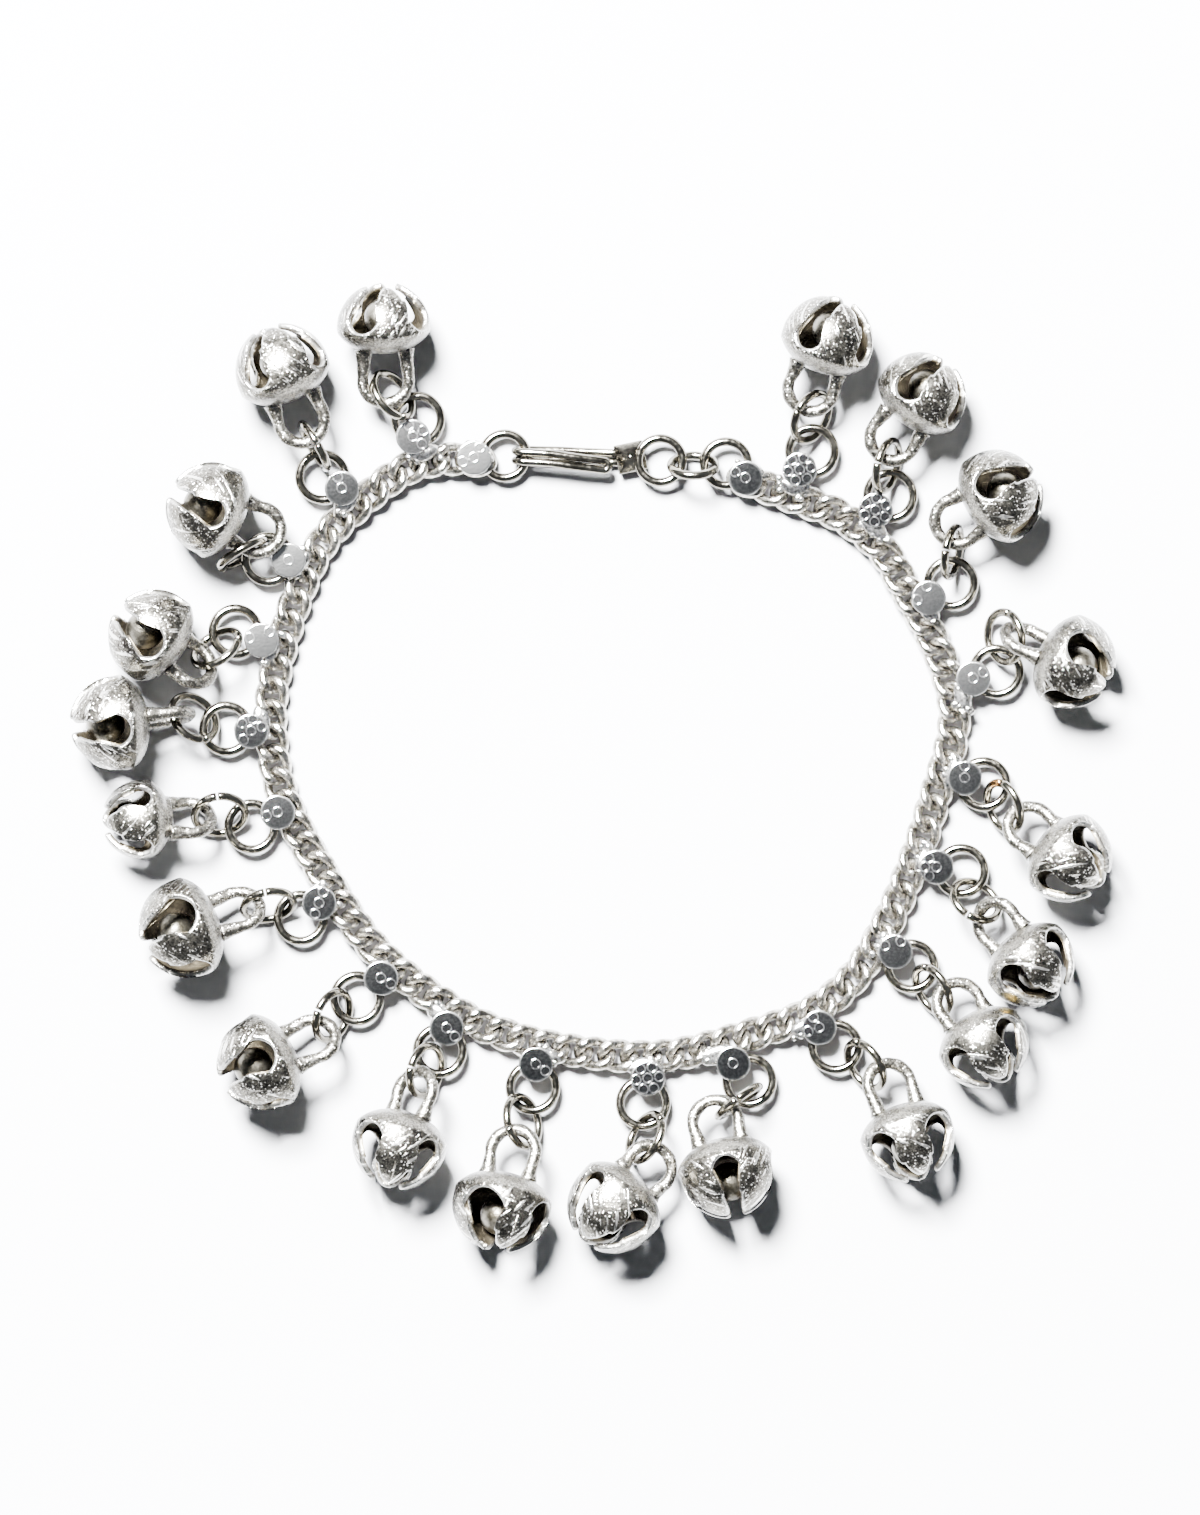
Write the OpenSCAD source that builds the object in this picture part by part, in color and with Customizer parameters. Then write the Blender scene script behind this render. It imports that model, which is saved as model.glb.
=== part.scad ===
// Silver bell anklet: a closed curb chain with twenty hanging bells and a hook clasp, lying flat.

/* [Chain] */
// Diameter of the chain wire
chain_wire = 1.06; // [0.9:0.02:1.1]
// Half length of a link, to the centre of its wire
link_a = 2.12; // [2.12:0.02:2.2]
// Half width of a link, to the centre of its wire
link_b = 1.55; // [1.5:0.05:1.6]
// How far a link's ends rise and fall, to the centre of its wire
link_twist = 0.66; // [0.64:0.01:0.7]
// Number of links from end to end
link_count = 78; // [78:1:79]

/* [Hangers] */
// Diameter of a disc
disc_d = 4.25; // [4:0.05:4.5]
// Thickness of a disc
disc_t = 0.8; // [0.6:0.1:1]
// Radius of a soldered ring, to the centre of its wire
ring_r = 2.95; // [2.85:0.05:3]
// Diameter of a ring's wire
ring_wire = 1; // [0.9:0.05:1]
// Height of a soldered ring's centre above the ground
ring_z = 1.85; // [1.8:0.05:1.9]
// Radius of a jump ring, to the centre of its wire
jump_r = 3.22; // [3.2:0.02:3.24]
// Diameter of a jump ring's wire
jump_wire = 0.94; // [0.8:0.02:0.96]

/* [Bells] */
// Wall of a bell
bell_wall = 0.85; // [0.7:0.05:1]
// Radius of a bell's loop, to the centre of its wire
loop_r = 2.95; // [2.9:0.05:3]
// Diameter of a bell's loop wire
loop_wire = 1.42; // [1.2:0.02:1.44]
// Full width of a slot at its round root
slot_w = 3.3; // [2.8:0.1:3.6]
// Full width of a slot where it meets the others at the tip
slot_tip_w = 0.9; // [0.6:0.1:1.2]
// Diameter of the pellet
pellet_d = 5; // [4.6:0.1:5]

/* [Clasp] */
// Diameter of the hook's wire
hook_wire = 1.04; // [0.9:0.02:1.06]
// Radius of the clasp's three rings, to the centre of the wire
clasp_ring_r = 2.82; // [2.8:0.02:2.86]

/* [Hidden] */

// Where the middle of the finished piece's box lies in the layout's own coordinates
layout_x = 0.18;
layout_y = 0.13;

// The chain's centre line from the hook side round to the clasp side, x and y
ROUTE = [
    [-14.8, 39.4], [-19.3, 39.5], [-24.0, 38.1], [-29.5, 34.0], [-34.4, 28.9], [-37.7, 21.8],
    [-40.3, 12.9], [-41.0, 5.5], [-39.5, -3.4], [-34.4, -13.4], [-27.7, -23.1], [-18.1, -30.7],
    [-9.2, -34.6], [1.7, -36.6], [10.4, -36.6], [19.8, -34.2], [28.0, -31.2], [33.9, -26.3],
    [38.0, -19.4], [41.3, -11.7], [43.7, -4.4], [46.4, 6.0], [44.6, 14.5], [40.1, 23.1],
    [37.1, 28.1], [32.2, 32.1], [26.6, 34.4], [19.9, 36.8]
];

// Each hanger: link it is soldered to, x and y of its disc, x and y of its ring's centre
HANGERS = [
    [2, -22.8, 42.4, -22.2, 44.7],
    [6, -31.9, 35.8, -34.4, 37.3],
    [9, -38.7, 26.6, -41.3, 26.8],
    [13, -42.2, 16.4, -45.5, 17.5],
    [16, -43.5, 4.8, -46.7, 5.1],
    [20, -40.1, -5.6, -43.5, -7.4],
    [24, -34.8, -17.2, -37.2, -19.1],
    [28, -26.9, -26.8, -30.0, -29.4],
    [31, -18.5, -33.2, -19.4, -36.1],
    [36, -7.1, -37.8, -7.5, -40.8],
    [40, 7.2, -39.6, 6.6, -42.8],
    [43, 18.1, -37.7, 20.2, -40.0],
    [47, 29.1, -33.1, 31.2, -35.6],
    [52, 38.8, -23.4, 40.9, -25.3],
    [56, 44.1, -12.6, 47.3, -13.1],
    [60, 47.7, -1.2, 50.2, -2.0],
    [63, 48.8, 11.5, 51.8, 12.4],
    [67, 43.1, 21.8, 46.0, 23.7],
    [71, 36.3, 33.0, 38.2, 34.9],
    [75, 26.6, 38.2, 28.2, 40.6]
];

// Each jump ring: x and y of its centre, lean from flat, side that it climbs to,
// width of its cut and where the cut lies round it, all in mm and degrees
JUMP_RINGS = [
    [-25.4, 47.7, 65, 210, 4, 60],
    [-35.4, 41.2, 85, 30, 4, 0],
    [-44.6, 27.4, 80, 120, 30, 90],
    [-47.9, 15.4, 60, 300, 4, 60],
    [-50.8, 6.5, 62, 225, 4, 60],
    [-47.5, -5.9, 55, 105, 4, 0],
    [-41.3, -17.5, 68, 90, 4, 0],
    [-33.1, -31.6, 75, 160, 4, 0],
    [-21.2, -38.6, 78, 180, 4, 0],
    [-8.8, -45.1, 62, 190, 4, 0],
    [6.9, -47.15, 72, 345, 4, 60],
    [18.8, -42.5, 85, 120, 4, 0],
    [35.0, -37.9, 70, 45, 4, 60],
    [43.6, -28.3, 72, 45, 4, 60],
    [49.1, -16.9, 62, 240, 4, 0],
    [52.7, -4.9, 68, 30, 4, 60],
    [52.8, 16.8, 57, 15, 4, 60],
    [46.1, 27.7, 75, 165, 4, 0],
    [37.8, 38.7, 75, 180, 4, 0],
    [28.1, 44.9, 66, 168, 4, 0]
];

// Each bell's place: x and y of its dome's centre, heading of its tip, lift of its tip,
// turn of its slots, roll of its loop, all in mm and degrees
BELL_PLACES = [
    [-26.5, 56.1, 92, 9, -30, 4],
    [-39.4, 50.7, 111, 5, -35, 0],
    [-48.2, 33.0, 156, 10, -5, 0],
    [-55.7, 16.8, 144, 10, -10, 40],
    [-60.5, 5.8, 187, 10, -10, -80],
    [-57.5, -6.5, 182, 10, 40, 48],
    [-51.5, -20.3, 200, 10, 20, 40],
    [-41.7, -37.4, 205, 10, 10, 32],
    [-24.5, -47.7, 253, 10, 45, 44],
    [-11.4, -55.5, 258, 10, 25, 15],
    [2.9, -55.8, 227, 10, 50, -8],
    [17.25, -51.15, 283, 11, 0, 0],
    [40.3, -46.8, 289, 10, 42, -21],
    [49.9, -35.0, 301, 10, 48, -22],
    [55.8, -24.6, 310, 10, 35, 32],
    [60.6, -11.2, 321, 10, 50, -24],
    [60.9, 13.7, 334, 5, -25, -60],
    [51.6, 34.6, 32, 10, -20, 4],
    [42.0, 47.4, 56, 8, -22, 4],
    [30.1, 54.5, 71, 12, -27, 0]
];

// Each bell's shape: radius of its dome, depth of the straight wall behind the dome,
// reach from the dome's centre back to the loop's centre
BELL_SHAPES = [
    [6.05, 0.6, 6.6],
    [6.15, 1.5, 6.7],
    [6.2, 1.5, 6.3],
    [6.15, 1.5, 5.8],
    [6.15, 1.5, 6.5],
    [5.1, 1.5, 6.1],
    [6.45, 1.5, 6.8],
    [6.3, 1.5, 6.8],
    [6.1, 1.5, 6.6],
    [6.4, 1.5, 6.8],
    [6.1, 2.2, 6.6],
    [6.25, 1.5, 6.2],
    [6.1, 1.5, 6.8],
    [5.95, 1.5, 5.8],
    [5.95, 1.5, 6.2],
    [5.95, 1.5, 5.9],
    [6.1, 1.5, 6.0],
    [6.15, 1.5, 5.8],
    [5.85, 1.5, 6.3],
    [5.95, 1.5, 6.5]
];

// Resolution: sides of a link's wire, stations round a link, facets named on true curves
wire_sides = 6;
link_steps = 12;
curve_fn = 64;

// Chain lengths, worked out along the route
route_steps = 10;
chain_z = link_twist + chain_wire / 2;
route_last = len(ROUTE) - 1;
ROUTE_ENDS = concat([2 * ROUTE[0] - ROUTE[1]], ROUTE, [2 * ROUTE[route_last] - ROUTE[route_last - 1]]);

// Smooth curve through b and c, with a and d as the neighbouring points
function smooth(a, b, c, d, t) =
    0.5 * (2 * b + (c - a) * t + (2 * a - 5 * b + 4 * c - d) * t * t + (3 * b - a - 3 * c + d) * t * t * t);

LINE = concat(
    [for (i = [1:route_last], k = [0:route_steps - 1])
        smooth(ROUTE_ENDS[i - 1], ROUTE_ENDS[i], ROUTE_ENDS[i + 1], ROUTE_ENDS[i + 2], k / route_steps)],
    [ROUTE[route_last]]
);
RUN = [for (i = 0, s = 0; i < len(LINE); s = i < len(LINE) - 1 ? s + norm(LINE[i + 1] - LINE[i]) : s, i = i + 1) s];
RUN_X = [for (i = [0:len(LINE) - 1]) [RUN[i], LINE[i][0]]];
RUN_Y = [for (i = [0:len(LINE) - 1]) [RUN[i], LINE[i][1]]];
chain_length = RUN[len(RUN) - 1];
pitch = chain_length / (link_count - 1);

// Point of the chain's centre line at distance s from its start, and its heading there
function chain_point(s) = [lookup(s, RUN_X), lookup(s, RUN_Y)];
function chain_heading(s) =
    let (step = chain_point(s + 1.2) - chain_point(s - 1.2))
    atan2(step[1], step[0]);
function turned(p, a) = [p[0] * cos(a) - p[1] * sin(a), p[0] * sin(a) + p[1] * cos(a), p[2]];

// One link's centre line: an oval whose strands rise and fall twice round it
function link_point(t) = [link_a * cos(t), link_b * sin(t), -link_twist * sin(2 * t)];
function link_run(t) = [-link_a * sin(t), link_b * cos(t), -2 * link_twist * cos(2 * t)];
function link_section(t) =
    let (
        along = link_run(t) / norm(link_run(t)),
        out = cross(along, [0, 0, 1]) / norm(cross(along, [0, 0, 1])),
        up = cross(out, along)
    )
    [for (j = [0:wire_sides - 1])
        let (a = 360 * j / wire_sides)
        link_point(t) + chain_wire / 2 * (cos(a) * out + sin(a) * up)];
LINK = [for (i = [0:link_steps - 1]) each link_section(360 * i / link_steps)];

// Link number k's points in its place on the chain, and the faces of the n-th link of a set
function placed_link(k) =
    let (c = chain_point(k * pitch), a = chain_heading(k * pitch))
    [for (p = LINK) turned(p, a) + [c[0], c[1], chain_z]];
function link_faces(n) =
    let (first = n * link_steps * wire_sides)
    [for (i = [0:link_steps - 1], j = [0:wire_sides - 1])
        let (
            a = first + i * wire_sides,
            b = first + (i + 1) % link_steps * wire_sides,
            j2 = (j + 1) % wire_sides
        )
        each [[a + j, b + j2, b + j], [a + j, a + j2, b + j2]]];

SOLDERED = concat([0, link_count - 1], [for (h = HANGERS) h[0]]);
PLAIN = [for (k = [0:link_count - 1]) if (len(search(k, SOLDERED)) == 0) k];

module links(numbers) {
    polyhedron(
        points = [for (k = numbers) each placed_link(k)],
        faces = [for (n = [0:len(numbers) - 1]) each link_faces(n)],
        convexity = 4
    );
}

// A wire ring lying flat round the origin, cut open over an angle if one is given
module wire_ring(r, wire, cut = 0, cut_at = 0) {
    rotate([0, 0, cut_at + cut / 2])
        rotate_extrude(angle = 360 - cut, $fn = curve_fn)
            translate([r, 0])
                circle(d = wire, $fn = curve_fn / 2);
}

// The chain's plain links, each passing through its two neighbours
module chain() {
    color("silver")
        links(PLAIN);
}

// Solder joins the link, the disc and the ring: one bead by the link, one by the ring
bead_r = 0.86;
ring_bead_r = 0.7;
bead_reach = 1.75;
bead_span = 0.6;
bead_z = 1.9;
disc_z = chain_z + link_twist + chain_wire / 2 + 0.04;
ring_lean = 3;
module disc_and_beads(k, disc, ring) {
    c = chain_point(k * pitch);
    a = chain_heading(k * pitch);
    from_link = turned([disc[0] - c[0], disc[1] - c[1], 0], -a);
    beside = turned([min(max(from_link[0], 0), bead_span), -bead_reach, 0], a);
    out = (ring - disc) / norm(ring - disc);
    translate([disc[0], disc[1], disc_z])
        cylinder(d = disc_d, h = disc_t, $fn = curve_fn);
    translate([c[0] + beside[0], c[1] + beside[1], bead_z])
        sphere(r = bead_r, $fn = curve_fn);
    translate([ring[0] - ring_r * out[0], ring[1] - ring_r * out[1], bead_z + 0.15])
        sphere(r = ring_bead_r, $fn = curve_fn);
}

// One hanger: a link of the chain with a stamped disc and a ring soldered to its outer side
module hanger(i) {
    h = HANGERS[i];
    disc = [h[1], h[2]];
    ring = [h[3], h[4]];
    color("silver") {
        links([h[0]]);
        disc_and_beads(h[0], disc, ring);
        translate([ring[0], ring[1], ring_z])
            rotate([0, -ring_lean, atan2(ring[1] - disc[1], ring[0] - disc[0])])
                wire_ring(ring_r, ring_wire);
    }
}

// The chain's two ends: the last link with a disc and a ring soldered over it, given by
// x and y of the disc and x, y and z of the ring's centre
HOOK_SIDE = [-15.0, 39.7, -11.1, 40.0, 1.7];
CLASP_SIDE = [19.7, 37.1, 17.2, 39.0, 2.3];
module end_piece(k, place) {
    disc = [place[0], place[1]];
    ring = [place[2], place[3]];
    color("silver") {
        links([k]);
        disc_and_beads(k, disc, ring);
        translate([ring[0], ring[1], place[4]])
            wire_ring(clasp_ring_r, ring_wire);
    }
}

// The loose ring between the hook's ring and the clasp side's end ring, standing on its edge
MIDDLE_RING = [13.0, 38.7];
middle_lean = 62;
module middle_ring() {
    color("silver")
        translate([MIDDLE_RING[0], MIDDLE_RING[1], clasp_ring_r * sin(middle_lean) + ring_wire / 2 + 0.03])
            rotate([0, -middle_lean, 270])
                wire_ring(clasp_ring_r, ring_wire);
}

// The hook: one wire folded double, run under the end ring, bent up through it and
// laid back over itself to a round tip; its two ends meet in a solder pyramid with a ring
HOOK_RING = [8.8, 39.4, 2.3];
pyramid_x = 3.1;
pyramid_length = 4;
pyramid_h = 3.3;
pyramid_top = 0.5;
hook_gap = 1.2;
hook_low = hook_wire / 2 + 0.03;
hook_high = 3.05;
bend_x = -8.5;
bend_steps = 6;
tip_x = 2.2;
hook_sides = 8;
HOOK_MIDDLE = concat(
    [[pyramid_x + 1, 39.7, 1.1], [0, 39.9, hook_low], [-4, 40.1, hook_low]],
    [for (i = [0:bend_steps])
        let (a = 180 * i / bend_steps, r = (hook_high - hook_low) / 2)
        [bend_x - r * sin(a), 40.2 - 0.4 * i / bend_steps, hook_low + r * (1 - cos(a))]],
    [[-5, 39.6, 3.3], [-1.5, 39.1, 3.2], [tip_x - 0.6, 38.7, 2.75]]
);
tip_steps = 4;
HOOK_PATH = concat(
    [for (p = HOOK_MIDDLE) p + [0, hook_gap / 2, 0]],
    [for (i = [1:tip_steps - 1])
        let (a = 180 * i / tip_steps)
        [tip_x - 0.6 + hook_gap / 2 * sin(a), 38.7 + hook_gap / 2 * cos(a), 2.7]],
    [for (i = [len(HOOK_MIDDLE) - 1:-1:0]) HOOK_MIDDLE[i] - [0, hook_gap / 2, 0]]
);
function path_run(path, i) =
    let (step = path[min(i + 1, len(path) - 1)] - path[max(i - 1, 0)])
    step / norm(step);
function squared(v, along) = let (w = v - (v * along) * along) w / norm(w);

// A round wire swept along a path, its sections carried on without twist from side to side
module wire_along(path, wire, sides) {
    last = len(path) - 1;
    across = [for (i = 0, v = squared([0, 1, 0], path_run(path, 0)); i <= last;
        i = i + 1, v = squared(v, path_run(path, min(i, last)))) v];
    points = [for (i = [0:last])
        let (up = cross(across[i], path_run(path, i)))
        for (j = [0:sides - 1])
            path[i] + wire / 2 * (cos(360 * j / sides) * across[i] + sin(360 * j / sides) * up)];
    polyhedron(
        points = points,
        faces = concat(
            [for (i = [0:last - 1], j = [0:sides - 1])
                let (a = i * sides, b = a + sides, j2 = (j + 1) % sides)
                each [[a + j, b + j2, b + j], [a + j, a + j2, b + j2]]],
            [[for (j = [sides - 1:-1:0]) j]],
            [[for (j = [0:sides - 1]) last * sides + j]]
        ),
        convexity = 6
    );
}
module hook() {
    color("silver") {
        wire_along(HOOK_PATH, hook_wire, hook_sides);
        translate([pyramid_x + pyramid_length / 2, HOOK_RING[1] + 0.2, 0.1])
            rotate([0, 0, 45])
                cylinder(d1 = pyramid_length * sqrt(2), d2 = pyramid_top, h = pyramid_h, $fn = 4);
        translate(HOOK_RING)
            wire_ring(clasp_ring_r, ring_wire);
    }
}

// The jump rings: each passes through a hanger's ring and a bell's loop and stands on the ground
module jump_rings() {
    color("silver")
        for (j = JUMP_RINGS)
            translate([j[0], j[1], jump_r * sin(j[2]) + jump_wire / 2 + 0.03])
                rotate([0, -j[2], j[3]])
                    wire_ring(jump_r, jump_wire, j[4], j[5]);
}

// Heights above the ground of a bell's ridge and of its dome's centre
function ridge_z(shape, lift) =
    max(shape[0] * cos(lift), shape[0] - shape[1] * sin(lift));
function dome_z(shape, lift) = ridge_z(shape, lift) + shape[1] * sin(lift);

// Half of a bell's section, its axis upright and its ridge at height 0: a dome on a short
// straight wall, closed behind by a shallow cone
cone_mid_r = 3.2;
cone_mid_depth = 1.9;
cone_depth = 2.5;
module bell_section(r, side, inset) {
    intersection() {
        translate([0, side])
            circle(r = r - inset, $fn = curve_fn);
        translate([0, side])
            square(r);
    }
    square([r - inset, side]);
    polygon([[0, 0], [r - inset, 0], [cone_mid_r - inset, inset - cone_mid_depth], [0, inset - cone_depth]]);
}

// The outline of two opposite slots seen along them: round at the root, narrow at the tip
slot_root = 0.65;
slot_mid = 4.4;
slot_mid_w = 2.5;
module slot_outline(r, side) {
    tip = side + r + 1;
    scale_r = r / 6.1;
    root = slot_root + slot_w / 2 * scale_r;
    translate([root, 0])
        circle(d = slot_w * scale_r, $fn = curve_fn);
    polygon([
        [root, -slot_w / 2 * scale_r], [slot_mid, -slot_mid_w / 2 * scale_r], [tip, -slot_tip_w / 2],
        [tip, slot_tip_w / 2], [slot_mid, slot_mid_w / 2 * scale_r], [root, slot_w / 2 * scale_r]
    ]);
}

// One bell: a hollow dome of four petals with a cast loop on its closed back
module bell(i) {
    place = BELL_PLACES[i];
    shape = BELL_SHAPES[i];
    r = shape[0];
    side = shape[1];
    color("gainsboro")
        translate([place[0], place[1], dome_z(shape, place[3])])
            rotate([0, -place[3], place[2]])
                translate([-side, 0, 0])
                    difference() {
                        union() {
                            rotate([0, 90, 0])
                                rotate_extrude($fn = curve_fn)
                                    bell_section(r, side, 0);
                            translate([side - shape[2], 0, 0])
                                rotate([place[5], 0, 0])
                                    wire_ring(loop_r, loop_wire);
                        }
                        rotate([0, 90, 0])
                            rotate_extrude($fn = curve_fn)
                                bell_section(r, side, bell_wall);
                        for (a = [0, 90])
                            rotate([a + place[4], 0, 0])
                                linear_extrude(height = 2 * r + 2, center = true)
                                    slot_outline(r, side);
                    }
}

// The pellets: one loose ball low in each bell, a little ahead of the dome's centre
pellet_ahead = 1.2;
pellet_gap = 0.15;
module pellets() {
    color("silver")
        for (i = [0:len(BELL_PLACES) - 1])
            let (
                place = BELL_PLACES[i],
                inner_r = BELL_SHAPES[i][0] - bell_wall,
                ball_r = min(pellet_d, inner_r * 0.95) / 2,
                off_centre = inner_r - ball_r - pellet_gap
            )
            translate([place[0], place[1], dome_z(BELL_SHAPES[i], place[3])])
                rotate([0, -place[3], place[2]])
                    translate([pellet_ahead, 0, -sqrt(pow(off_centre, 2) - pow(pellet_ahead, 2))])
                        sphere(r = ball_r, $fn = curve_fn);
}

translate([-layout_x, -layout_y, 0]) {
    chain();
    end_piece(0, HOOK_SIDE);  // end_piece_hook_side
    end_piece(link_count - 1, CLASP_SIDE);  // end_piece_clasp_side
    middle_ring();
    hook();
    jump_rings();
    pellets();
    for (i = [0:19]) {
        hanger(i);
        bell(i);
    }
}
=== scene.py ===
import bpy
import numpy as np
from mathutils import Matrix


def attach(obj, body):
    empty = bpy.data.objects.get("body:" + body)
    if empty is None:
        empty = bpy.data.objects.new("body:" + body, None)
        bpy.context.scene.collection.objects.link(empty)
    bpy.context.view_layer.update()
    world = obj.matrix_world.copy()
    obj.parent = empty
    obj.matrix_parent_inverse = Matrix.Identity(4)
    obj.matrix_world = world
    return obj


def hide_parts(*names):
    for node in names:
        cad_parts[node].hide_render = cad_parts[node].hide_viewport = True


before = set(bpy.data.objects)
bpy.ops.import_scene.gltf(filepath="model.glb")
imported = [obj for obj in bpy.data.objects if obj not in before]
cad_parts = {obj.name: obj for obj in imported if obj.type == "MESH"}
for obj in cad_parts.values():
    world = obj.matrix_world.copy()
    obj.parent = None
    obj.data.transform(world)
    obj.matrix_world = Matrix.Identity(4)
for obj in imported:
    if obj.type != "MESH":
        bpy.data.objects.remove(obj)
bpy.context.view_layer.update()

# The chain is the band that goes round the ankle: oval links of round silver wire, each
# with a half twist so that the links lie flat on one another. The maker closes every link
# with solder and files the band lightly, which leaves bright lines across the wire.

# Sizes are in millimetres. MIDDLE is the middle of the outline, which comes to the origin.
MM = 0.001
MIDDLE = np.array([0.18, 0.13, 0.0])
# The band's middle line, from the hook's side round to the other end.
ROUTE = np.array([
    [-14.8, 39.4], [-19.3, 39.5], [-24.0, 38.1], [-29.5, 34.0], [-34.4, 28.9], [-37.7, 21.8],
    [-40.3, 12.9], [-41.0, 5.5], [-39.5, -3.4], [-34.4, -13.4], [-27.7, -23.1], [-18.1, -30.7],
    [-9.2, -34.6], [1.7, -36.6], [10.4, -36.6], [19.8, -34.2], [28.0, -31.2], [33.9, -26.3],
    [38.0, -19.4], [41.3, -11.7], [43.7, -4.4], [46.4, 6.0], [44.6, 14.5], [40.1, 23.1],
    [37.1, 28.1], [32.2, 32.1], [26.6, 34.4], [19.9, 36.8]])
ROUTE_STEPS = 10
HEADING_SPAN = 1.2
LINK_COUNT = 78
# Half length and half width of a link's oval, how far its strands rise and fall, its wire,
# and the height of its middle.
LINK_LONG = 2.12
LINK_WIDE = 1.55
LINK_TWIST = 0.74
LINK_WIRE = 1.30
LINK_Z = LINK_TWIST + LINK_WIRE / 2
LINK_UNEVEN = 0.03
LINK_STEPS = 28
# The links that carry a soldered disc and ring for a bell.
HANGER_LINKS = [2, 6, 9, 13, 16, 20, 24, 28, 31, 36, 40, 43, 47, 52, 56, 60, 63, 67, 71, 75]
SOLDERED = [0, LINK_COUNT - 1] + HANGER_LINKS
CHAIN_WORN = (0.155, 0.147, 0.125)
CHAIN_BRIGHT = (0.51, 0.49, 0.45)
CHAIN_RELIEF = 0.00008
FILE_SQUEEZE = (0.6, 5.0, 1.0)
FILE_TURN = (0, 0, 0.6)


def unit(v):
    """Each vector divided by its own length."""
    return v / np.linalg.norm(v, axis=-1, keepdims=True)


def rounded_route(points, steps):
    """A smooth line through the points: between two of them, the cubic that leaves and
    arrives along the chord of their neighbours. Gives the line and its length so far."""
    p = np.vstack([2 * points[0] - points[1], points, 2 * points[-1] - points[-2]])
    a, b, c, d = p[:-3, None], p[1:-2, None], p[2:-1, None], p[3:, None]
    t = (np.arange(steps) / steps)[None, :, None]
    line = 0.5 * (2 * b + (c - a) * t + (2 * a - 5 * b + 4 * c - d) * t ** 2
                  + (3 * b - a - 3 * c + d) * t ** 3)
    line = np.vstack([line.reshape(-1, 2), points[-1]])
    gone = np.concatenate([[0], np.cumsum(np.linalg.norm(np.diff(line, axis=0), axis=1))])
    return line, gone


LINE, GONE = rounded_route(ROUTE, ROUTE_STEPS)
PITCH = GONE[-1] / (LINK_COUNT - 1)


def on_route(s):
    """The point of the route at length s, and the heading from the point a little before
    it to the point a little after it."""
    before, here, after = (
        np.stack([np.interp(q, GONE, LINE[:, 0]), np.interp(q, GONE, LINE[:, 1])], -1)
        for q in (s - HEADING_SPAN, s, s + HEADING_SPAN))
    step = after - before
    return here, np.arctan2(step[..., 1], step[..., 0])


def grid(rows, columns, round_rows=False):
    """The four-sided faces of a grid of points. Each row is joined up into a ring, and the
    last row is joined to the first where asked."""
    i, j = np.meshgrid(np.arange(rows if round_rows else rows - 1), np.arange(columns),
                       indexing="ij")
    i2, j2 = (i + 1) % rows, (j + 1) % columns
    return np.stack([i * columns + j, i2 * columns + j, i2 * columns + j2, i * columns + j2],
                    -1).reshape(-1, 4)


def wire(path, radius, up, sides=12, closed=True):
    """A round wire: at each point of the path lies a circle square to the path, turned so
    that its second axis leans to `up`. The radius may change along the path. An open wire
    ends in two flat caps."""
    ahead = np.roll(path, -1, 0) - np.roll(path, 1, 0) if closed else np.gradient(path, axis=0)
    along = unit(ahead)
    side = unit(np.cross(along, np.broadcast_to(up, path.shape)))
    top = np.cross(side, along)
    a = np.arange(sides) * 2 * np.pi / sides
    circle = np.cos(a)[:, None] * side[:, None] + np.sin(a)[:, None] * top[:, None]
    points = path[:, None] + np.broadcast_to(radius, len(path))[:, None, None] * circle
    faces = [grid(len(path), sides, closed)]
    if not closed:
        cap = np.arange(sides)
        faces += [cap[None, :], ((len(path) - 1) * sides + cap[::-1])[None, :]]
    return points.reshape(-1, 3), faces


def put(name, parts, finish, nodes, marks=None):
    """Makes one piece of the object from surfaces, each given as points and sets of faces,
    brings it to the origin and to metres, and seats it. Marks are values or vectors that
    the mesh carries at its points, for its finish to read."""
    start = np.cumsum([0] + [len(points) for points, _ in parts])
    points = (np.concatenate([points for points, _ in parts]) - MIDDLE) * MM
    faces = [face for (_, sets), first in zip(parts, start)
             for faces_set in sets for face in (faces_set + first).tolist()]
    mesh = bpy.data.meshes.new(name)
    mesh.from_pydata(points.tolist(), [], faces)
    mesh.shade_smooth()
    for key, values in (marks or {}).items():
        if np.ndim(values) == 2:
            mark = mesh.attributes.new(key, "FLOAT_VECTOR", "POINT")
            mark.data.foreach_set("vector", np.ravel(values))
        else:
            mark = mesh.attributes.new(key, "FLOAT", "POINT")
            mark.data.foreach_set("value", values)
    piece = bpy.data.objects.new(name, mesh)
    bpy.context.collection.objects.link(piece)
    mesh.materials.append(finish)
    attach(piece, "root")
    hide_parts(*nodes)
    return piece


def link(k):
    """Link number k: its centre line is an oval whose strands rise and fall twice round it,
    as the sine of double the angle, so that each side of it dips under the next link. Its
    wire swells and thins five times round it."""
    t = np.arange(LINK_STEPS) * 2 * np.pi / LINK_STEPS
    oval = np.stack([LINK_LONG * np.cos(t), LINK_WIDE * np.sin(t), -LINK_TWIST * np.sin(2 * t)], -1)
    points, faces = wire(oval, LINK_WIRE / 2 * (1 + LINK_UNEVEN * np.sin(5 * t + k)), [0, 0, 1])
    place, heading = on_route(k * PITCH)
    c, s = np.cos(heading), np.sin(heading)
    turned = np.stack([points[:, 0] * c - points[:, 1] * s, points[:, 0] * s + points[:, 1] * c,
                       points[:, 2]], -1)
    return turned + [place[0], place[1], LINK_Z], faces


def fill(tree, socket, value):
    """Links a socket where the value is another node's output, and sets it otherwise."""
    if isinstance(value, bpy.types.NodeSocket):
        tree.links.new(value, socket)
    else:
        socket.default_value = (*value, 1) if socket.type == "RGBA" else value


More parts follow.
